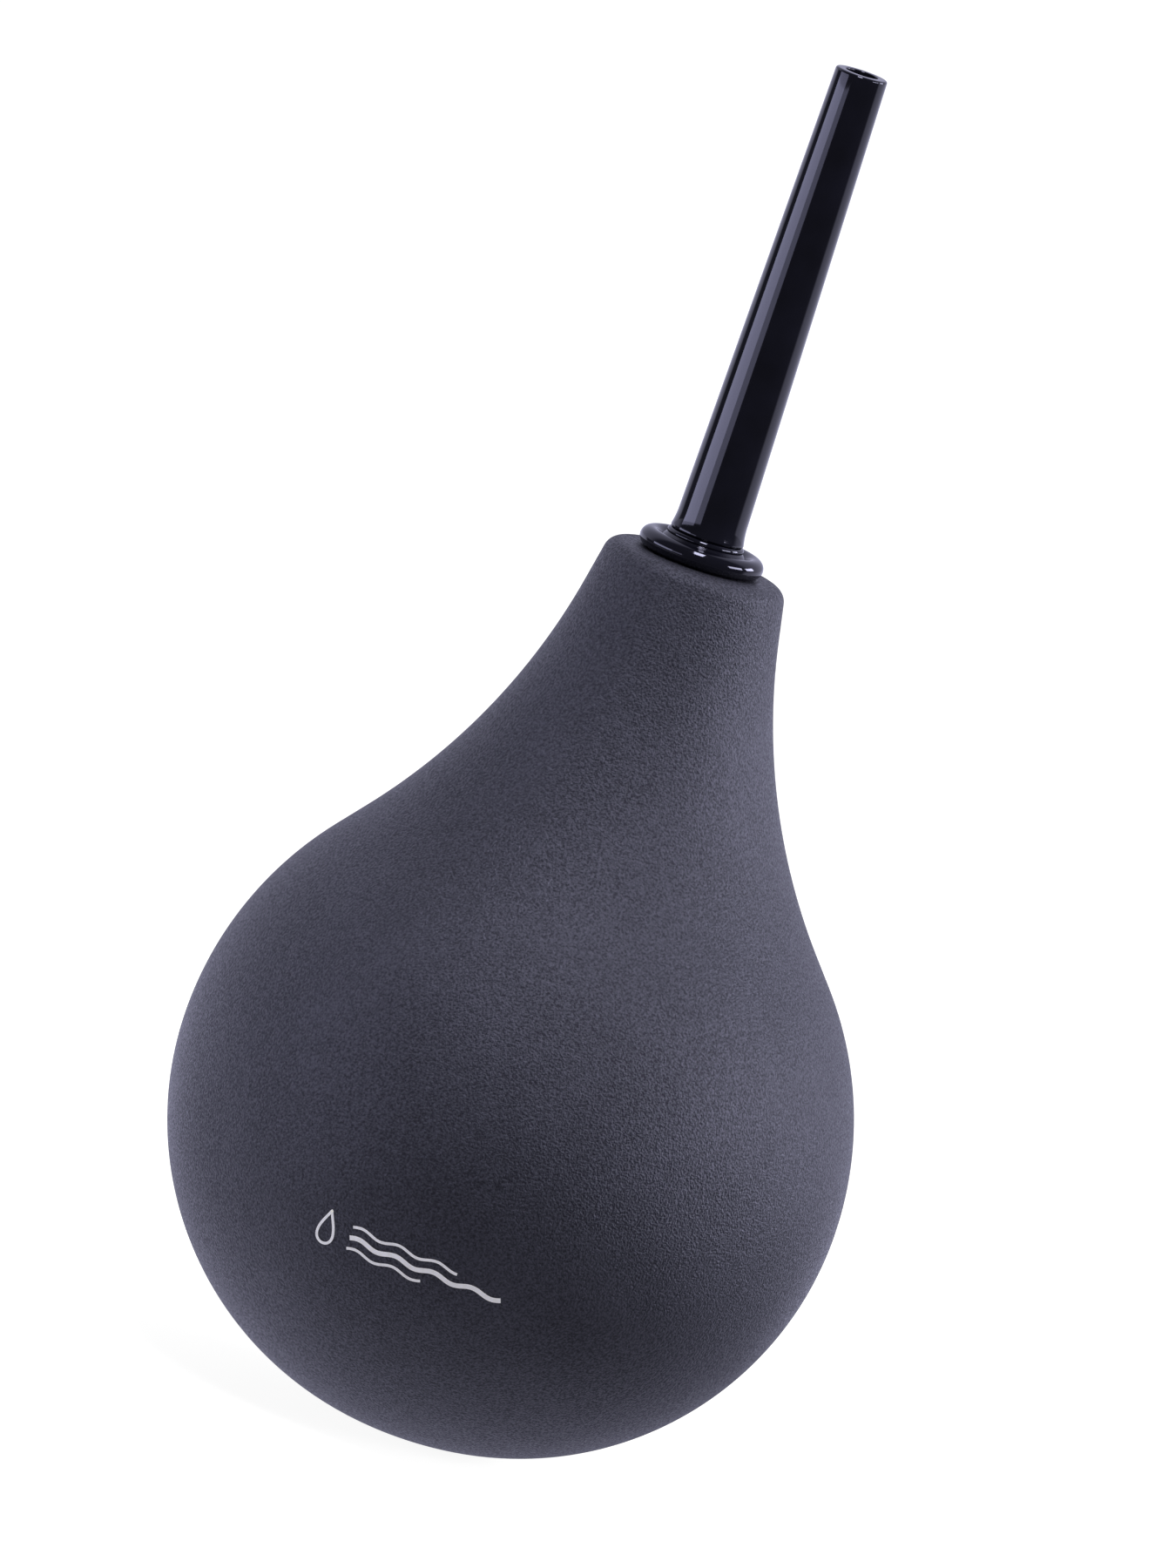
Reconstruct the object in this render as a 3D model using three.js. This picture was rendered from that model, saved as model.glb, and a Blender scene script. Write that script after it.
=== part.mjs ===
// Squeeze bulb with a push-in nozzle, in millimetres, +Z up.
// Every piece is turned about the Z axis. The origin is the middle of the bulb's flat foot.
import * as THREE from 'three';

// Facets around every turned piece; one count keeps facing walls parallel.
const SEGMENTS = 48;

// Bulb, outside: foot, two belly arcs, a short straight shoulder, a hollow flare, a drafted neck.
const BELLY_R = 42;
const BELLY_Z = 39.95;
const LOWER_ARC_R = 40.45;
const UPPER_ARC_R = 43.7;
const FOOT_BLEND_R = 4;
const SHOULDER_ANGLE = 39.5;
const SHOULDER_STRAIGHT = 4.4;
const FLARE_R = 79.8;
const NECK_DRAFT = 10.9;
const NECK_TOP_Z = 113.15;
const NECK_ROUND_R = 2;

// Bulb, inside.
const WALL = 2.6;
const FLOOR_Z = 3;
const INNER_FLARE_R = 20;
const NECK_BORE_R = 6;
const BORE_CHAMFER = 0.4;

// Clearances between pieces that touch.
const SLIP_GAP = 0.1;
const PRESS_GAP = 0.05;

// Collar: a rolled rim on the neck, a small mouth lip above it and a barbed spigot below.
const RIM_R = 6.62;
const RIM_SECTION_R = 1.27;
const RIM_Z = 114.45;
const LIP_R = 4.45;
const LIP_SECTION_R = 0.45;
const LIP_Z = 116;
const COLLAR_BORE_R = 3.85;
const SPIGOT_CORE_R = 5.2;
const BARB_COUNT = 3;
const BARB_PITCH = 3;
const BARB_LAND = 0.4;
const SPIGOT_BOTTOM_Z = 103.7;

// Nozzle: a tapered tube that flares a little at its root, on a plain stem.
const TIP_Z = 176.45;
const TIP_R = 3.28;
const TIP_ROUND_R = 0.3;
const TIP_INNER_ROUND_R = 0.15;
const TUBE_FOOT_R = 4.37;
const ROOT_FLARE_R = 11;
const ROOT_FLARE_ANGLE = 13;
const ROOT_ROUND_R = 0.25;
const NOZZLE_BORE_R = 2.05;
const STEM_BOTTOM_Z = 104.1;
const STEM_CHAMFER = 0.35;

// Seal ring in the stem's groove.
const SEAL_SECTION_R = 0.45;
const SEAL_Z = 108.8;

const GLOSS_BLACK = { color: 0x0b0b0e, roughness: 0.12, metalness: 0 };
const SOFT_BLACK = { color: 0x2a2b31, roughness: 0.85, metalness: 0 };
const SEAL_BLACK = { color: 0x161618, roughness: 0.55, metalness: 0 };

const rad = THREE.MathUtils.degToRad;
const point = (r, z) => new THREE.Vector2(r, z);

// Points of an arc about (r, z), from one angle to another in degrees; 0 points outwards.
function arc(r, z, radius, from, to, step = 6) {
  const count = Math.max(1, Math.ceil(Math.abs(to - from) / step));
  return Array.from({ length: count + 1 }, (_, i) => {
    const a = rad(from + (to - from) * i / count);
    return point(r + radius * Math.cos(a), z + radius * Math.sin(a));
  });
}

// Turns an outline about the Z axis. The outline runs up the outside and down the inside.
function turned(name, outline, look) {
  const apart = outline.filter((p, i) => i === 0 || p.distanceTo(outline[i - 1]) > 1e-6);
  const geometry = new THREE.LatheGeometry(apart, SEGMENTS);
  geometry.rotateX(Math.PI / 2);
  const mesh = new THREE.Mesh(geometry, new THREE.MeshStandardMaterial(look));
  mesh.name = name;
  return mesh;
}

// Outside of the bulb from the axis under the foot to the rim of the neck's flat top.
function bulbOutside() {
  const lowerR = BELLY_R - LOWER_ARC_R;
  const footR = lowerR + Math.sqrt((LOWER_ARC_R - FOOT_BLEND_R) ** 2 - (BELLY_Z - FOOT_BLEND_R) ** 2);
  const footAngle = THREE.MathUtils.radToDeg(Math.atan2(FOOT_BLEND_R - BELLY_Z, footR - lowerR));
  const upperR = BELLY_R - UPPER_ARC_R;
  const belly = arc(upperR, BELLY_Z, UPPER_ARC_R, 0, SHOULDER_ANGLE, 5);
  const shoulder = belly.at(-1).clone();
  const slope = rad(SHOULDER_ANGLE);
  shoulder.add(point(-Math.sin(slope), Math.cos(slope)).multiplyScalar(SHOULDER_STRAIGHT));
  const flareCentre = shoulder.clone().add(point(Math.cos(slope), Math.sin(slope)).multiplyScalar(FLARE_R));
  const flare = arc(flareCentre.x, flareCentre.y, FLARE_R, 180 + SHOULDER_ANGLE, 180 + NECK_DRAFT, 3.5);
  const draft = Math.tan(rad(NECK_DRAFT));
  const neckR = flare.at(-1).x - (NECK_TOP_Z - flare.at(-1).y) * draft;
  const roundR = neckR - NECK_ROUND_R * Math.tan(rad(45 - NECK_DRAFT / 2));
  const rim = arc(roundR, NECK_TOP_Z - NECK_ROUND_R, NECK_ROUND_R, NECK_DRAFT, 90, 20);
  return [
    point(0, 0),
    ...arc(footR, FOOT_BLEND_R, FOOT_BLEND_R, -90, footAngle),
    ...arc(lowerR, BELLY_Z, LOWER_ARC_R, footAngle, 0),
    ...belly,
    ...flare,
    ...rim,
  ];
}

// Inside of the bulb from the mouth of the neck down to the axis on the floor.
function bulbInside() {
  const lowerR = BELLY_R - LOWER_ARC_R;
  const lowerArc = LOWER_ARC_R - WALL;
  const floorAngle = THREE.MathUtils.radToDeg(Math.asin((FLOOR_Z - BELLY_Z) / lowerArc));
  const belly = arc(BELLY_R - UPPER_ARC_R, BELLY_Z, UPPER_ARC_R - WALL, SHOULDER_ANGLE, 0);
  const slope = rad(SHOULDER_ANGLE);
  const flareStartR = NECK_BORE_R + INNER_FLARE_R * (1 - Math.cos(slope));
  const flareStartZ = belly[0].y + (belly[0].x - flareStartR) / Math.tan(slope);
  const flareTopZ = flareStartZ + INNER_FLARE_R * Math.sin(slope);
  return [
    point(NECK_BORE_R + BORE_CHAMFER, NECK_TOP_Z),
    point(NECK_BORE_R, NECK_TOP_Z - BORE_CHAMFER),
    ...arc(NECK_BORE_R + INNER_FLARE_R, flareTopZ, INNER_FLARE_R, 180, 180 + SHOULDER_ANGLE, 8),
    ...belly,
    ...arc(lowerR, BELLY_Z, lowerArc, 0, floorAngle),
    point(0, FLOOR_Z),
  ];
}

function bulb() {
  return turned('bulb', [...bulbOutside(), ...bulbInside()], SOFT_BLACK);
}

// Barbs that slide down into the neck and hold against being pulled up.
function spigotBarbs() {
  const barbR = NECK_BORE_R - PRESS_GAP;
  return Array.from({ length: BARB_COUNT }, (_, i) => {
    const top = SPIGOT_BOTTOM_Z + (i + 1) * BARB_PITCH;
    return [
      point(SPIGOT_CORE_R, top - BARB_PITCH),
      point(barbR, top - BARB_LAND),
      point(barbR, top),
      point(SPIGOT_CORE_R, top),
    ];
  }).flat();
}

function collar() {
  const seatZ = NECK_TOP_Z + PRESS_GAP;
  const seatAngle = -90 + THREE.MathUtils.radToDeg(Math.acos((RIM_Z - seatZ) / RIM_SECTION_R));
  const bore = point(COLLAR_BORE_R, SPIGOT_BOTTOM_Z);
  return turned('collar', [
    bore,
    ...spigotBarbs(),
    point(SPIGOT_CORE_R, seatZ),
    ...arc(RIM_R, RIM_Z, RIM_SECTION_R, seatAngle, 150, 15),
    ...arc(LIP_R, LIP_Z, LIP_SECTION_R, -30, 90, 24),
    point(COLLAR_BORE_R, LIP_Z + LIP_SECTION_R),
    bore,
  ], GLOSS_BLACK);
}

function sealRing() {
  const outerR = COLLAR_BORE_R - PRESS_GAP;
  const ring = arc(outerR - SEAL_SECTION_R, SEAL_Z, SEAL_SECTION_R, -90, 270, 30);
  ring[ring.length - 1] = ring[0];
  return turned('seal_ring', ring, SEAL_BLACK);
}

function nozzle() {
  const stemR = COLLAR_BORE_R - SLIP_GAP;
  const grooveR = COLLAR_BORE_R - 2 * PRESS_GAP - 2 * SEAL_SECTION_R;
  const grooveHalf = SEAL_SECTION_R + PRESS_GAP;
  const shoulderZ = LIP_Z + LIP_SECTION_R + PRESS_GAP;
  const rootR = TUBE_FOOT_R + ROOT_FLARE_R * (1 - Math.cos(rad(ROOT_FLARE_ANGLE)));
  const flareTopZ = shoulderZ + ROOT_ROUND_R + ROOT_FLARE_R * Math.sin(rad(ROOT_FLARE_ANGLE));
  const innerRoundR = NOZZLE_BORE_R + TIP_INNER_ROUND_R;
  const bore = point(NOZZLE_BORE_R, STEM_BOTTOM_Z);
  return turned('nozzle', [
    bore,
    point(stemR - STEM_CHAMFER, STEM_BOTTOM_Z),
    point(stemR, STEM_BOTTOM_Z + STEM_CHAMFER),
    point(stemR, SEAL_Z - grooveHalf),
    point(grooveR, SEAL_Z - grooveHalf),
    point(grooveR, SEAL_Z + grooveHalf),
    point(stemR, SEAL_Z + grooveHalf),
    point(stemR, shoulderZ),
    ...arc(rootR - ROOT_ROUND_R, shoulderZ + ROOT_ROUND_R, ROOT_ROUND_R, -90, 0, 30),
    ...arc(TUBE_FOOT_R + ROOT_FLARE_R, flareTopZ, ROOT_FLARE_R, 180 + ROOT_FLARE_ANGLE, 180, 3.5),
    ...arc(TIP_R - TIP_ROUND_R, TIP_Z - TIP_ROUND_R, TIP_ROUND_R, 0, 90, 22.5),
    ...arc(innerRoundR, TIP_Z - TIP_INNER_ROUND_R, TIP_INNER_ROUND_R, 90, 180, 45),
    bore,
  ], GLOSS_BLACK);
}

const group = new THREE.Group();
group.add(bulb(), collar(), sealRing(), nozzle());

export default group;
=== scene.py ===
"""Squeeze bulb with a push-in nozzle: the visual model, materials, light and camera, in metres, +Z up."""
import bpy
import bmesh
import math
from mathutils import Matrix, Vector

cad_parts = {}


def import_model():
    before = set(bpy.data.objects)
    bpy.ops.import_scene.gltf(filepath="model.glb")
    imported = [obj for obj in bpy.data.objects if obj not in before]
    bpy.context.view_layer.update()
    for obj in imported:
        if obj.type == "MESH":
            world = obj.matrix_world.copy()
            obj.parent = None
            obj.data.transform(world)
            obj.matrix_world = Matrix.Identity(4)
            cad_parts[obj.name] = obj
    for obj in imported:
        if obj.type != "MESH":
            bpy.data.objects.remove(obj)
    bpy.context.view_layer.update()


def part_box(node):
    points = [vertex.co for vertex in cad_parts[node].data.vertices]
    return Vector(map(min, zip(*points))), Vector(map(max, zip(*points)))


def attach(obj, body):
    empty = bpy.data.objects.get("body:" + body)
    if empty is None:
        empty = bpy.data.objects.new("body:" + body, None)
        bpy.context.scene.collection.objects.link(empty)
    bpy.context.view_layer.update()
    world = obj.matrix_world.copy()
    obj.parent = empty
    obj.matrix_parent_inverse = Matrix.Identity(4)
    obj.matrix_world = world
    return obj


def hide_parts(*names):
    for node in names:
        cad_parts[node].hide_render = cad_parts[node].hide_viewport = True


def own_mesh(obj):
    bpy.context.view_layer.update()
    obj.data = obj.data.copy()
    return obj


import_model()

MM = 0.001
SAME_PLACE = 1e-7

# Heights and widths that the frame gives.
BULB_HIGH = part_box("bulb")[1]
COLLAR_LOW, COLLAR_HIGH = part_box("collar")
RING_LOW, RING_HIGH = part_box("seal_ring")
NOZZLE_LOW, NOZZLE_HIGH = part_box("nozzle")

# Bulb outline: foot blend, two belly arcs, a straight shoulder, a hollow flare and a drafted neck.
BELLY_R = BULB_HIGH.x
NECK_TOP_Z = BULB_HIGH.z
BELLY_Z = 39.95 * MM
LOWER_ARC_R = 40.45 * MM
UPPER_ARC_R = 43.7 * MM
FOOT_BLEND_R = 4 * MM
SHOULDER_ANGLE = 39.5
SHOULDER_STRAIGHT = 4.4 * MM
FLARE_R = 79.8 * MM
NECK_DRAFT = 10.9
NECK_ROUND_R = 2 * MM
WALL = 2.6 * MM
FLOOR_Z = 3 * MM
INNER_FLARE_R = 20 * MM
NECK_BORE_R = 6 * MM
BORE_ROUND_R = 0.4 * MM

# Collar: rolled rim, mouth lip and barbed spigot.
PRESS_GAP = 0.05 * MM
RIM_SECTION_R = 1.27 * MM
RIM_R = COLLAR_HIGH.x - RIM_SECTION_R
RIM_Z = 114.45 * MM
LIP_SECTION_R = 0.45 * MM
LIP_R = 4.45 * MM
LIP_Z = COLLAR_HIGH.z - LIP_SECTION_R
COLLAR_BORE_R = 3.85 * MM
SPIGOT_CORE_R = 5.2 * MM
BARB_COUNT = 3
BARB_PITCH = 3 * MM
BARB_LAND = 0.4 * MM

# Nozzle: tapered tube, flared root, stem with a groove for the seal ring.
TIP_Z = NOZZLE_HIGH.z
TIP_R = 3.28 * MM
TIP_ROUND_R = 0.3 * MM
TIP_INNER_ROUND_R = 0.15 * MM
TUBE_FOOT_R = 4.37 * MM
ROOT_FLARE_R = 11 * MM
ROOT_FLARE_ANGLE = 13
ROOT_ROUND_R = 0.25 * MM
NOZZLE_BORE_R = 2.05 * MM
SLIP_GAP = 0.1 * MM
STEM_CHAMFER = 0.35 * MM
SEAL_SECTION_R = (RING_HIGH.z - RING_LOW.z) / 2
SEAL_Z = (RING_HIGH.z + RING_LOW.z) / 2

# Printed mark on the front of the belly.
MARK_Z = 26.4 * MM
MARK_AZIMUTH = -9.7
MARK_TILT = -3.3
MARK_LIFT = 0.03 * MM
MARK_INK = 0.02 * MM
FINE_LINE_W = 0.35 * MM
BOLD_LINE_W = 0.6 * MM
DROP_U = -10.9 * MM
DROP_SIZE = 4.4 * MM
WAVES_U = -7.6 * MM
WAVES = ((14 * MM, FINE_LINE_W), (20 * MM, BOLD_LINE_W), (10 * MM, FINE_LINE_W))
WAVE_PITCH = 1.45 * MM
WAVE_HEIGHT = 0.28 * MM
WAVE_LENGTH = 5 * MM

# Sides of the turned pieces.
BULB_SIDES = 256
PLASTIC_SIDES = 192
RING_SIDES = 96

# Grain of the surfaces: how fine the noise is, per metre, and how deep it goes.
RUBBER_GRAIN = 3300
RUBBER_GRAIN_DEPTH = 0.2 * MM
RUBBER_CLOUD = 60
RUBBER_CLOUD_SHARE = 0.2
PLASTIC_WAVE = 220
PLASTIC_WAVE_DEPTH = 0.02 * MM
PLASTIC_DUST = 5200
SEAL_GRAIN = 3000
INK_GRAIN = 2400
INK_GLOW = 0.2

# Camera: long lens, rolled so that the axis leans to the right.
CAMERA_ELEVATION = 9
CAMERA_ROLL = 18.53
CAMERA_LENS = 600
SENSOR = 36
FRAME_W, FRAME_H = 1349, 1800
BELLY_SHARE = 0.5846
BELLY_ACROSS = 0.434
BELLY_DOWN = 0.7165

# Studio. Azimuth 0 is the camera's side and 90 the right. Light that climbs towards an azimuth has that
# azimuth, the start and end of the climb and its brightness at each. An _R is the distance of its fading,
# and UNDER_FLOOR climbs over the distance from the middle.
STUDIO_TINT = (0.845, 0.845, 1.15)
STRIP_TINT = (0.82, 0.825, 1.24)
LIGHT_AIM_Z = 50 * MM
FLOOR_HALF = 12
FLOOR_DROP = 0.01 * MM
FLOOR_GREY = 0.3
FLOOR_GLOW = 0.91
FAR_FLOOR = (165.5, 0.2, 0.38, 0.1, 0.95)
FAR_FLOOR_R = (0, 0.2)
NEAR_FLOOR = (-130, -0.08, 0.08, 0.05, 0.8)
NEAR_FLOOR_R = (0.1, 0.5)
UNDER_FLOOR = (0.03, 0.08, 0.34, 0)
ROOM_LIGHT = (180, 0, 0.4, 0.1, 0.7)
SOFT_BOXES = (
    # name, azimuth, elevation, width and height in degrees, distance, strength, tint
    ("top_box", -5, 66, (13, 28), 1.5, 18.5, STUDIO_TINT),
    ("right_box", 73, 21, (28, 14), 1.5, 11.7, STUDIO_TINT),
    ("far_right_box", 109, 20, (20, 14), 1.5, 13.1, STUDIO_TINT),
    ("left_strip", -63.5, 4, (64, 11.4), 0.5, 1.55, STRIP_TINT),
    ("left_strip_core", -73.5, 5.5, (43, 14.4), 0.5, 2.1, STRIP_TINT),
)


def rad(degrees):
    return math.radians(degrees)


def arc(r, z, radius, start, end, step=1.5):
    """Points of an arc about (r, z) between two angles in degrees; 0 points outwards."""
    count = max(2, math.ceil(abs(end - start) / step))
    angles = [rad(start + (end - start) * i / count) for i in range(count + 1)]
    return [(r + radius * math.cos(a), z + radius * math.sin(a)) for a in angles]


def line(a, b, count):
    """Points from a to b in even steps."""
    return [(a[0] + (b[0] - a[0]) * i / count, a[1] + (b[1] - a[1]) * i / count) for i in range(count + 1)]


def bulb_outside():
    lower_r = BELLY_R - LOWER_ARC_R
    foot_r = lower_r + math.sqrt((LOWER_ARC_R - FOOT_BLEND_R) ** 2 - (BELLY_Z - FOOT_BLEND_R) ** 2)
    foot_angle = math.degrees(math.atan2(FOOT_BLEND_R - BELLY_Z, foot_r - lower_r))
    upper = arc(BELLY_R - UPPER_ARC_R, BELLY_Z, UPPER_ARC_R, 0, SHOULDER_ANGLE)
    slope = rad(SHOULDER_ANGLE)
    top = upper[-1]
    bend = (top[0] - SHOULDER_STRAIGHT * math.sin(slope), top[1] + SHOULDER_STRAIGHT * math.cos(slope))
    centre = (bend[0] + FLARE_R * math.cos(slope), bend[1] + FLARE_R * math.sin(slope))
    flare = arc(*centre, FLARE_R, 180 + SHOULDER_ANGLE, 180 + NECK_DRAFT, 1)
    neck_r = flare[-1][0] - (NECK_TOP_Z - flare[-1][1]) * math.tan(rad(NECK_DRAFT))
    round_r = neck_r - NECK_ROUND_R * math.tan(rad(45 - NECK_DRAFT / 2))
    rim = arc(round_r, NECK_TOP_Z - NECK_ROUND_R, NECK_ROUND_R, NECK_DRAFT, 90, 5)
    return [
        *line((0, 0), (foot_r, 0), 6),
        *arc(foot_r, FOOT_BLEND_R, FOOT_BLEND_R, -90, foot_angle),
        *arc(lower_r, BELLY_Z, LOWER_ARC_R, foot_angle, 0),
        *upper,
        *line(top, bend, 4),
        *flare,
        *line(flare[-1], rim[0], 6),
        *rim,
    ]


def bulb_inside():
    lower_arc = LOWER_ARC_R - WALL
    floor_angle = math.degrees(math.asin((FLOOR_Z - BELLY_Z) / lower_arc))
    upper = arc(BELLY_R - UPPER_ARC_R, BELLY_Z, UPPER_ARC_R - WALL, SHOULDER_ANGLE, 0, 4)
    slope = rad(SHOULDER_ANGLE)
    flare_r = NECK_BORE_R + INNER_FLARE_R * (1 - math.cos(slope))
    flare_z = upper[0][1] + (upper[0][0] - flare_r) / math.tan(slope) + INNER_FLARE_R * math.sin(slope)
    return [
        *arc(NECK_BORE_R + BORE_ROUND_R, NECK_TOP_Z - BORE_ROUND_R, BORE_ROUND_R, 90, 180, 15),
        *arc(NECK_BORE_R + INNER_FLARE_R, flare_z, INNER_FLARE_R, 180, 180 + SHOULDER_ANGLE, 4),
        *upper,
        *arc(BELLY_R - LOWER_ARC_R, BELLY_Z, lower_arc, 0, floor_angle, 4),
        *line((BELLY_R - LOWER_ARC_R + lower_arc * math.cos(rad(floor_angle)), FLOOR_Z), (0, FLOOR_Z), 4),
    ]


def collar_outline():
    seat_z = NECK_TOP_Z + PRESS_GAP
    seat_angle = -90 + math.degrees(math.acos((RIM_Z - seat_z) / RIM_SECTION_R))
    barb_r = NECK_BORE_R - PRESS_GAP
    barbs = []
    for i in range(BARB_COUNT):
        top = COLLAR_LOW.z + (i + 1) * BARB_PITCH
        barbs += [(SPIGOT_CORE_R, top - BARB_PITCH), (barb_r, top - BARB_LAND)]
        barbs += [(barb_r, top), (SPIGOT_CORE_R, top)]
    return [
        (COLLAR_BORE_R, COLLAR_LOW.z),
        *barbs,
        (SPIGOT_CORE_R, seat_z),
        *arc(RIM_R, RIM_Z, RIM_SECTION_R, seat_angle, 150, 5),
        *arc(LIP_R, LIP_Z, LIP_SECTION_R, -30, 90, 8),
        (COLLAR_BORE_R, COLLAR_HIGH.z),
        (COLLAR_BORE_R, COLLAR_LOW.z),
    ]


def ring_outline():
    return arc(RING_HIGH.x - SEAL_SECTION_R, SEAL_Z, SEAL_SECTION_R, -90, 270, 10)


def nozzle_outline():
    stem_r = COLLAR_BORE_R - SLIP_GAP
    groove_r = COLLAR_BORE_R - 2 * PRESS_GAP - 2 * SEAL_SECTION_R
    groove_half = SEAL_SECTION_R + PRESS_GAP
    shoulder_z = COLLAR_HIGH.z + PRESS_GAP
    root_r = TUBE_FOOT_R + ROOT_FLARE_R * (1 - math.cos(rad(ROOT_FLARE_ANGLE)))
    flare_top_z = shoulder_z + ROOT_ROUND_R + ROOT_FLARE_R * math.sin(rad(ROOT_FLARE_ANGLE))
    inner_r = NOZZLE_BORE_R + TIP_INNER_ROUND_R
    return [
        (NOZZLE_BORE_R, NOZZLE_LOW.z),
        (stem_r - STEM_CHAMFER, NOZZLE_LOW.z),
        (stem_r, NOZZLE_LOW.z + STEM_CHAMFER),
        (stem_r, SEAL_Z - groove_half),
        (groove_r, SEAL_Z - groove_half),
        (groove_r, SEAL_Z + groove_half),
        (stem_r, SEAL_Z + groove_half),
        (stem_r, shoulder_z),
        *arc(root_r - ROOT_ROUND_R, shoulder_z + ROOT_ROUND_R, ROOT_ROUND_R, -90, 0, 15),
        *arc(TUBE_FOOT_R + ROOT_FLARE_R, flare_top_z, ROOT_FLARE_R, 180 + ROOT_FLARE_ANGLE, 180, 1.5),
        *line((TUBE_FOOT_R, flare_top_z), (TIP_R, TIP_Z - TIP_ROUND_R), 24),
        *arc(TIP_R - TIP_ROUND_R, TIP_Z - TIP_ROUND_R, TIP_ROUND_R, 0, 90, 10),
        *arc(inner_r, TIP_Z - TIP_INNER_ROUND_R, TIP_INNER_ROUND_R, 90, 180, 15),
        (NOZZLE_BORE_R, NOZZLE_LOW.z),
    ]


def turned(name, outline, segments, crease=35):
    """A closed solid turned about Z. A closed outline ends on its first point, an open one on the axis."""
    points = [p for i, p in enumerate(outline) if i == 0 or math.dist(p, outline[i - 1]) > SAME_PLACE]
    closed = math.dist(points[0], points[-1]) < SAME_PLACE
    if closed:
        points.pop()
    bm = bmesh.new()
    rings = []
    for r, z in points:
        if r < SAME_PLACE:
            rings.append([bm.verts.new((0, 0, z))] * segments)
            continue
        turn = [2 * math.pi * i / segments for i in range(segments)]
        rings.append([bm.verts.new((r * math.cos(a), r * math.sin(a), z)) for a in turn])
    pairs = list(zip(rings, rings[1:])) + ([(rings[-1], rings[0])] if closed else [])
    for low, high in pairs:
        for i in range(segments):
            j = (i + 1) % segments
            corners = [low[i], low[j], high[j], high[i]]
            bm.faces.new(list(dict.fromkeys(corners)))
    mesh = bpy.data.meshes.new(name)
    bm.to_mesh(mesh)
    bm.free()
    mesh.shade_smooth()
    mesh.set_sharp_from_angle(angle=rad(crease))
    obj = bpy.data.objects.new(name, mesh)
    bpy.context.collection.objects.link(obj)
    return obj


def finished(obj, body, slot, material, *nodes):
    """Rides the piece on its body, gives it its material and hides the CAD nodes that it replaces."""
    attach(obj, body)
    obj.data.materials.append(material)
    if nodes:
        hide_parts(*nodes)


# ---------------------------------------------------------------- materials

def new_material(name):
    material = bpy.data.materials.new(name)
    material.use_nodes = True
    nodes = material.node_tree.nodes
    return material, nodes, material.node_tree.links, nodes["Principled BSDF"]


def noise(nodes, links, coordinates, scale, detail=3, roughness=0.5):
    node = nodes.new("ShaderNodeTexNoise")
    node.inputs["Scale"].default_value = scale
    node.inputs["Detail"].default_value = detail
    node.inputs["Roughness"].default_value = roughness
    links.new(coordinates, node.inputs["Vector"])
    return node.outputs["Fac"]


def ramp(nodes, links, value, *stops):
    """A colour ramp from pairs of position and grey or colour."""
    node = nodes.new("ShaderNodeValToRGB")
    elements = node.color_ramp.elements
    while len(elements) < len(stops):
        elements.new(0.5)
    for element, (place, colour) in zip(elements, stops):
        element.position = place
        element.color = (*colour, 1) if isinstance(colour, tuple) else (colour, colour, colour, 1)
    links.new(value, node.inputs["Fac"])
    return node.outputs["Color"]


def soft_rubber():
    """Soft-touch charcoal rubber: a fine pebbled grain that catches the light, and faint clouds of tone."""
    material, nodes, links, shader = new_material("soft_rubber")
    place = nodes.new("ShaderNodeTexCoord").outputs["Object"]
    grain = noise(nodes, links, place, RUBBER_GRAIN, 2, 0.6)
    cloud = noise(nodes, links, place, RUBBER_CLOUD, 4, 0.6)
    mottle = nodes.new("ShaderNodeMix")
    mottle.data_type = "FLOAT"
    mottle.inputs[0].default_value = RUBBER_CLOUD_SHARE
    links.new(grain, mottle.inputs[2])
    links.new(cloud, mottle.inputs[3])
    dark, light = (0.008, 0.008, 0.0086), (0.064, 0.064, 0.068)
    tone = ramp(nodes, links, mottle.outputs[0], (0.36, dark), (0.64, light))
    links.new(tone, shader.inputs["Base Color"])
    links.new(ramp(nodes, links, grain, (0.38, 0.6), (0.62, 0.37)), shader.inputs["Roughness"])
    shader.inputs["Specular IOR Level"].default_value = 0.5
    bump = nodes.new("ShaderNodeBump")
    bump.inputs["Strength"].default_value = 1
    bump.inputs["Distance"].default_value = RUBBER_GRAIN_DEPTH
    links.new(grain, bump.inputs["Height"])
    links.new(bump.outputs["Normal"], shader.inputs["Normal"])
    return material


def gloss_plastic():
    """Polished black plastic: deep gloss, very faint waves and a trace of dust."""
    material, nodes, links, shader = new_material("gloss_plastic")
    place = nodes.new("ShaderNodeTexCoord").outputs["Object"]
    wave = noise(nodes, links, place, PLASTIC_WAVE, 2, 0.5)
    dust = noise(nodes, links, place, PLASTIC_DUST, 2, 0.7)
    tone = ramp(nodes, links, wave, (0.3, (0.0035, 0.0035, 0.005)), (0.7, (0.006, 0.006, 0.009)))
    links.new(tone, shader.inputs["Base Color"])
    links.new(ramp(nodes, links, dust, (0.35, 0.05), (0.75, 0.1)), shader.inputs["Roughness"])
    shader.inputs["Specular IOR Level"].default_value = 0.5
    bump = nodes.new("ShaderNodeBump")
    bump.inputs["Strength"].default_value = 0.08
    bump.inputs["Distance"].default_value = PLASTIC_WAVE_DEPTH
    links.new(wave, bump.inputs["Height"])
    links.new(bump.outputs["Normal"], shader.inputs["Normal"])
    return material


def seal_rubber():
    """Satin black rubber of the small ring."""
    material, nodes, links, shader = new_material("seal_rubber")
    place = nodes.new("ShaderNodeTexCoord").outputs["Object"]
    grain = noise(nodes, links, place, SEAL_GRAIN, 2, 0.6)
    links.new(ramp(nodes, links, grain, (0.3, 0.01), (0.7, 0.018)), shader.inputs["Base Color"])
    links.new(ramp(nodes, links, grain, (0.3, 0.35), (0.7, 0.5)), shader.inputs["Roughness"])
    return material


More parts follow.
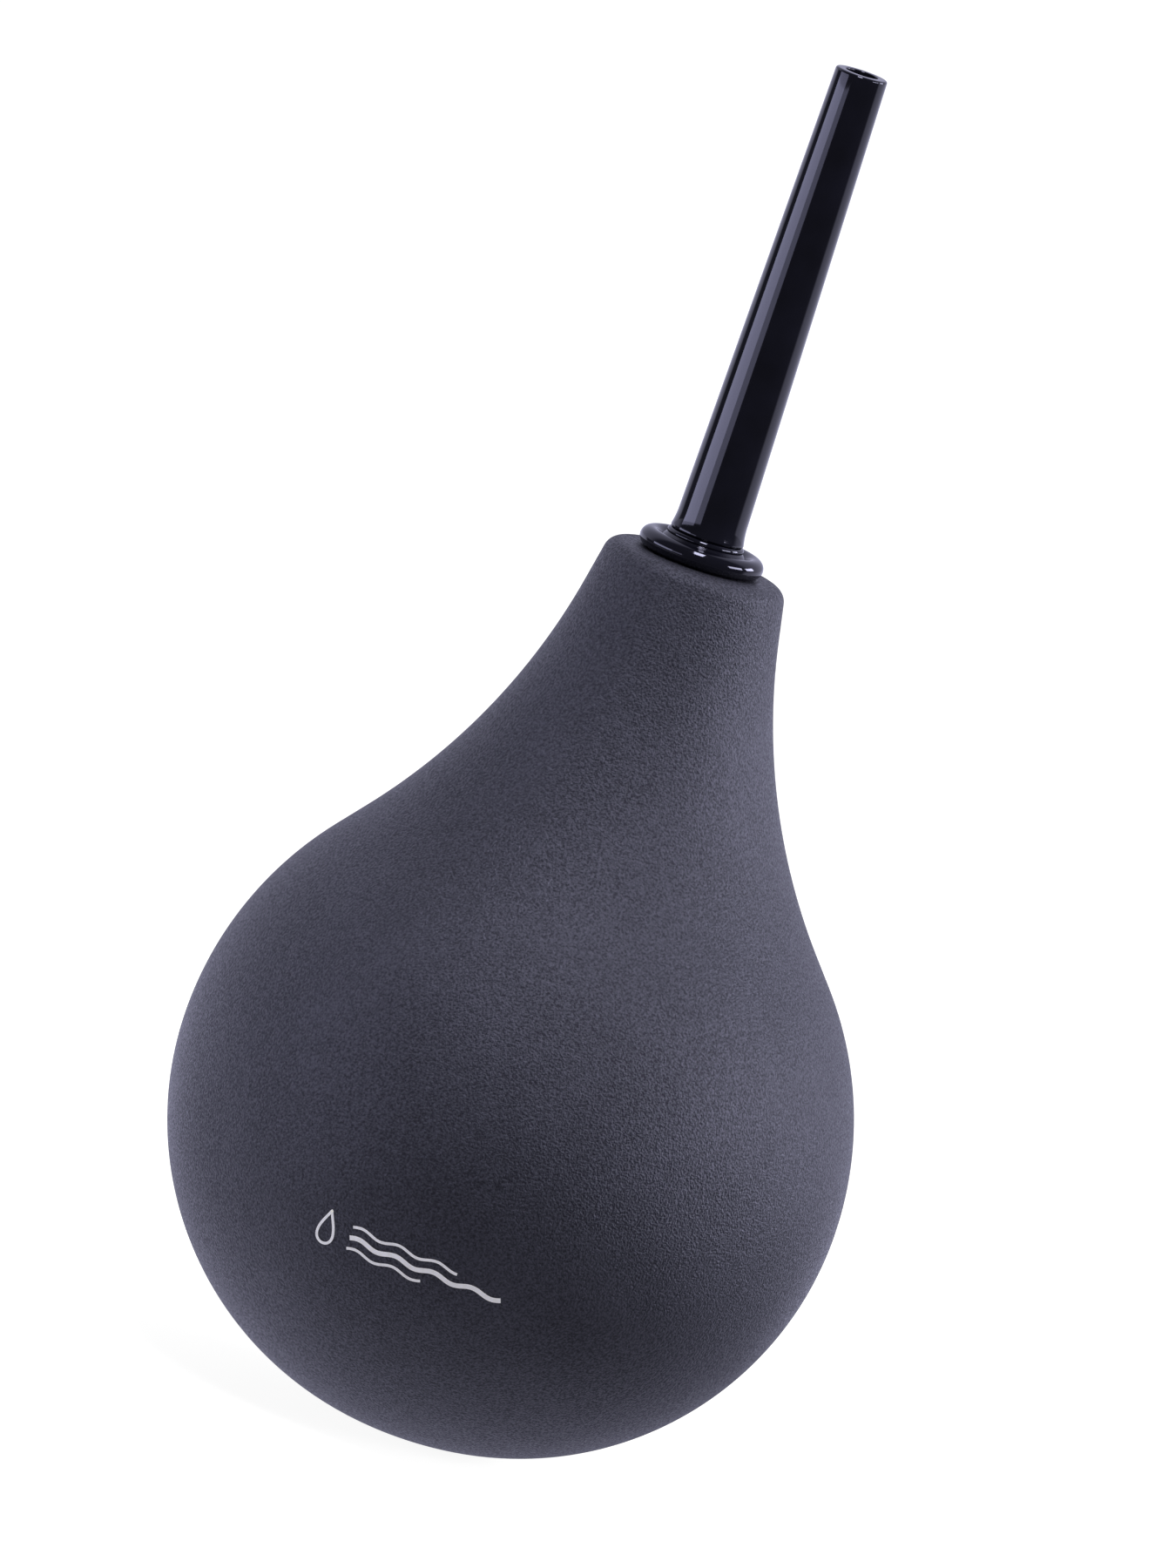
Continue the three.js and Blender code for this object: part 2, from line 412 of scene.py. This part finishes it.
def mark_ink():
    """Matte white pad print with slightly uneven cover; a trace of glow keeps it white in the dim light."""
    material, nodes, links, shader = new_material("mark_ink")
    place = nodes.new("ShaderNodeTexCoord").outputs["Object"]
    cover = noise(nodes, links, place, INK_GRAIN, 3, 0.6)
    tone = ramp(nodes, links, cover, (0.3, (0.8, 0.79, 0.7)), (0.65, (0.97, 0.95, 0.84)))
    links.new(tone, shader.inputs["Base Color"])
    links.new(tone, shader.inputs["Emission Color"])
    shader.inputs["Emission Strength"].default_value = INK_GLOW
    shader.inputs["Roughness"].default_value = 0.6
    return material


# ---------------------------------------------------------------- printed mark

def belly_radius(z):
    """Radius of the lower half of the bulb at a height."""
    return BELLY_R - LOWER_ARC_R + math.sqrt(LOWER_ARC_R ** 2 - (z - BELLY_Z) ** 2)


def on_belly(u, v, lift):
    """A point of the flat mark laid on the belly: u across, v up, both from the mark's middle."""
    tilt = rad(MARK_TILT)
    u, v = u * math.cos(tilt) - v * math.sin(tilt), u * math.sin(tilt) + v * math.cos(tilt)
    z = MARK_Z + v
    r = belly_radius(z)
    a = rad(MARK_AZIMUTH) + u / r
    arc_r = r - BELLY_R + LOWER_ARC_R
    out = Vector((math.sin(a) * arc_r, -math.cos(a) * arc_r, z - BELLY_Z))
    return Vector((math.sin(a) * r, -math.cos(a) * r, z)) + out.normalized() * lift


def stroke(bm, path, width, closed=False):
    """A thin closed ribbon of ink along a flat path."""
    count = len(path)
    top = MARK_LIFT + MARK_INK
    sections = []
    for i, (u, v) in enumerate(path):
        before = path[i - 1] if closed or i else path[i]
        after = path[(i + 1) % count] if closed or i < count - 1 else path[i]
        du, dv = after[0] - before[0], after[1] - before[1]
        length = math.hypot(du, dv)
        nu, nv = -dv / length * width / 2, du / length * width / 2
        sections.append([
            bm.verts.new(on_belly(u + side * nu, v + side * nv, lift))
            for side, lift in ((-1, MARK_LIFT), (1, MARK_LIFT), (1, top), (-1, top))
        ])
    pairs = list(zip(sections, sections[1:])) + ([(sections[-1], sections[0])] if closed else [])
    for a, b in pairs:
        for i in range(4):
            j = (i + 1) % 4
            bm.faces.new((a[i], a[j], b[j], b[i]))
    if not closed:
        bm.faces.new(sections[0][::-1])
        bm.faces.new(sections[-1])


def drop_path(u, v, size, steps=48):
    """Outline of a drop with its point up."""
    path = []
    for i in range(steps):
        t = 2 * math.pi * i / steps
        path.append((u + size * 0.36 * math.sin(t) * math.sin(t / 2) ** 1.5, v + size * 0.5 * math.cos(t)))
    return path


def wave_path(u, v, length, steps=60):
    """A gently waving line that starts at (u, v)."""
    turn = 2 * math.pi * length / WAVE_LENGTH
    return [(u + length * i / steps, v + WAVE_HEIGHT * math.sin(turn * i / steps)) for i in range(steps + 1)]


def printed_mark():
    """A drop and three wavy lines."""
    bm = bmesh.new()
    stroke(bm, drop_path(DROP_U, 0, DROP_SIZE), FINE_LINE_W, closed=True)
    for row, (length, width) in enumerate(WAVES):
        stroke(bm, wave_path(WAVES_U, (1 - row) * WAVE_PITCH, length), width)
    bmesh.ops.recalc_face_normals(bm, faces=bm.faces)
    mesh = bpy.data.meshes.new("printed_mark")
    bm.to_mesh(mesh)
    bm.free()
    obj = bpy.data.objects.new("printed_mark", mesh)
    bpy.context.collection.objects.link(obj)
    return obj


# ---------------------------------------------------------------- the object

rubber = soft_rubber()
plastic = gloss_plastic()

bulb = turned("bulb_skin", bulb_outside() + bulb_inside(), BULB_SIDES)
collar = turned("collar_rim", collar_outline(), PLASTIC_SIDES)
ring = turned("seal_ring_body", ring_outline(), RING_SIDES)
nozzle = turned("nozzle_tube", nozzle_outline(), PLASTIC_SIDES)
mark = printed_mark()

finished(bulb, "bulb", "soft_rubber", rubber, "bulb")
finished(collar, "collar", "gloss_plastic", plastic, "collar")
finished(ring, "seal_ring", "seal_rubber", seal_rubber(), "seal_ring")
finished(nozzle, "nozzle", "gloss_plastic", plastic, "nozzle")
finished(mark, "bulb", "soft_rubber", mark_ink())

for piece in (bulb, mark):
    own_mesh(piece)


# ---------------------------------------------------------------- floor, light and camera

def climbing(nodes, links, value, low, high, dark, bright):
    """Climbs smoothly from dark to bright as a value goes from low to high."""
    climb = nodes.new("ShaderNodeMapRange")
    climb.interpolation_type = "SMOOTHSTEP"
    for name, number in (("From Min", low), ("From Max", high), ("To Min", dark), ("To Max", bright)):
        climb.inputs[name].default_value = number
    links.new(value, climb.inputs["Value"])
    return climb.outputs["Result"]


def towards(nodes, links, vector, azimuth):
    """How far a vector goes towards an azimuth."""
    dot = nodes.new("ShaderNodeVectorMath")
    dot.operation = "DOT_PRODUCT"
    dot.inputs[1].default_value = (math.sin(rad(azimuth)), -math.cos(rad(azimuth)), 0)
    links.new(vector, dot.inputs[0])
    return dot.outputs["Value"]


def maths(nodes, links, operation, *values):
    node = nodes.new("ShaderNodeMath")
    node.operation = operation
    for value, socket in zip(values, node.inputs):
        links.new(value, socket)
    return node.outputs[0]


def by_camera(nodes, links, unseen, seen, output):
    """One shader for the camera's own rays and another for all other light."""
    mix = nodes.new("ShaderNodeMixShader")
    links.new(nodes.new("ShaderNodeLightPath").outputs["Is Camera Ray"], mix.inputs["Fac"])
    links.new(unseen.outputs[0], mix.inputs[1])
    links.new(seen.outputs[0], mix.inputs[2])
    links.new(mix.outputs[0], nodes[output].inputs["Surface"])


def thrown_light(nodes, links):
    """What the floor throws back: white behind, dark in front, a pool left of the bulb and one under it."""
    place = nodes.new("ShaderNodeTexCoord").outputs["Object"]
    distance = nodes.new("ShaderNodeVectorMath")
    distance.operation = "LENGTH"
    links.new(place, distance.inputs[0])
    far_azimuth, *far = FAR_FLOOR
    near_azimuth, *near = NEAR_FLOOR
    direction = nodes.new("ShaderNodeVectorMath")
    direction.operation = "NORMALIZE"
    links.new(place, direction.inputs[0])
    behind = climbing(nodes, links, towards(nodes, links, direction.outputs[0], far_azimuth), *far)
    farness = climbing(nodes, links, distance.outputs["Value"], *FAR_FLOOR_R, 0, 1)
    beside = climbing(nodes, links, towards(nodes, links, place, near_azimuth), *near)
    closeness = climbing(nodes, links, distance.outputs["Value"], *NEAR_FLOOR_R, 1, 0)
    behind = maths(nodes, links, "MULTIPLY", behind, farness)
    beside = maths(nodes, links, "MULTIPLY", beside, closeness)
    under = climbing(nodes, links, distance.outputs["Value"], *UNDER_FLOOR)
    return maths(nodes, links, "ADD", under, maths(nodes, links, "ADD", behind, beside))


def floor():
    """A pale sweep for the camera, evened out by a little glow. The object is lit by what it throws back."""
    material, nodes, links, pale = new_material("pale_floor")
    pale.inputs["Base Color"].default_value = (*(FLOOR_GREY / share for share in STUDIO_TINT), 1)
    pale.inputs["Roughness"].default_value = 1
    pale.inputs["Specular IOR Level"].default_value = 0
    pale.inputs["Emission Color"].default_value = (1, 1, 1, 1)
    pale.inputs["Emission Strength"].default_value = FLOOR_GLOW
    thrown = nodes.new("ShaderNodeEmission")
    thrown.inputs["Color"].default_value = (*STUDIO_TINT, 1)
    links.new(thrown_light(nodes, links), thrown.inputs["Strength"])
    by_camera(nodes, links, thrown, pale, "Material Output")
    mesh = bpy.data.meshes.new("floor")
    corners = [(x * FLOOR_HALF, y * FLOOR_HALF, -FLOOR_DROP) for x, y in ((-1, -1), (1, -1), (1, 1), (-1, 1))]
    mesh.from_pydata(corners, [], [(0, 1, 2, 3)])
    mesh.materials.append(material)
    obj = bpy.data.objects.new("floor", mesh)
    bpy.context.collection.objects.link(obj)


def world():
    """White for the camera; for the light on the object, a white wall behind and a dim room in front."""
    made = bpy.data.worlds.new("studio")
    made.use_nodes = True
    nodes, links = made.node_tree.nodes, made.node_tree.links
    azimuth, *room_climb = ROOM_LIGHT
    way = nodes.new("ShaderNodeTexCoord").outputs["Generated"]
    room = nodes["Background"]
    room.inputs["Color"].default_value = (*STUDIO_TINT, 1)
    strength = climbing(nodes, links, towards(nodes, links, way, azimuth), *room_climb)
    links.new(strength, room.inputs["Strength"])
    white = nodes.new("ShaderNodeBackground")
    white.inputs["Color"].default_value = (1, 1, 1, 1)
    by_camera(nodes, links, room, white, "World Output")
    bpy.context.scene.world = made


def outwards(azimuth, elevation):
    a, e = rad(azimuth), rad(elevation)
    return Vector((math.sin(a) * math.cos(e), -math.cos(a) * math.cos(e), math.sin(e)))


def area_light(name, place, turn, size, strength, tint):
    """A rectangle of light that the camera doesn't see; strength is how bright its face is."""
    light = bpy.data.lights.new(name, "AREA")
    light.shape = "RECTANGLE"
    light.size, light.size_y = size
    light.energy = strength * math.pi * light.size * light.size_y
    light.color = tint
    obj = bpy.data.objects.new(name, light)
    obj.location = place
    obj.rotation_euler = turn
    obj.visible_camera = False
    bpy.context.collection.objects.link(obj)


def soft_box(name, azimuth, elevation, spread, distance, strength, tint):
    """A soft box that faces the bulb. Spread is its width and height as seen from the bulb, in degrees."""
    out = outwards(azimuth, elevation)
    size = [2 * distance * math.tan(rad(angle / 2)) for angle in spread]
    place = Vector((0, 0, LIGHT_AIM_Z)) + out * distance
    area_light(name, place, out.to_track_quat("Z", "Y").to_euler(), size, strength, tint)


def camera():
    """Frames the bulb so that its belly takes its share of the width and stands at its place in the frame."""
    data = bpy.data.cameras.new("camera")
    data.lens = CAMERA_LENS
    data.sensor_width = SENSOR
    frame_width = 2 * BELLY_R / BELLY_SHARE
    frame_height = frame_width * FRAME_H / FRAME_W
    distance = frame_height * CAMERA_LENS / SENSOR
    data.clip_start, data.clip_end = distance / 20, distance * 4
    e = rad(CAMERA_ELEVATION)
    back = Vector((0, -math.cos(e), math.sin(e)))
    right = Vector((1, 0, 0))
    up = back.cross(right)
    belly = Vector((0, 0, BELLY_Z))
    roll = rad(CAMERA_ROLL)
    view_right = right * math.cos(roll) + up * math.sin(roll)
    view_up = up * math.cos(roll) - right * math.sin(roll)
    across = (BELLY_ACROSS - 0.5) * frame_width
    down = (BELLY_DOWN - 0.5) * frame_height
    aim = belly - view_right * across + view_up * down
    obj = bpy.data.objects.new("camera", data)
    obj.matrix_world = Matrix((
        (view_right.x, view_up.x, back.x, aim.x + back.x * distance),
        (view_right.y, view_up.y, back.y, aim.y + back.y * distance),
        (view_right.z, view_up.z, back.z, aim.z + back.z * distance),
        (0, 0, 0, 1)))
    bpy.context.collection.objects.link(obj)
    bpy.context.scene.camera = obj


floor()
world()
for box in SOFT_BOXES:
    soft_box(*box)
camera()
bpy.context.scene.view_settings.view_transform = "Standard"
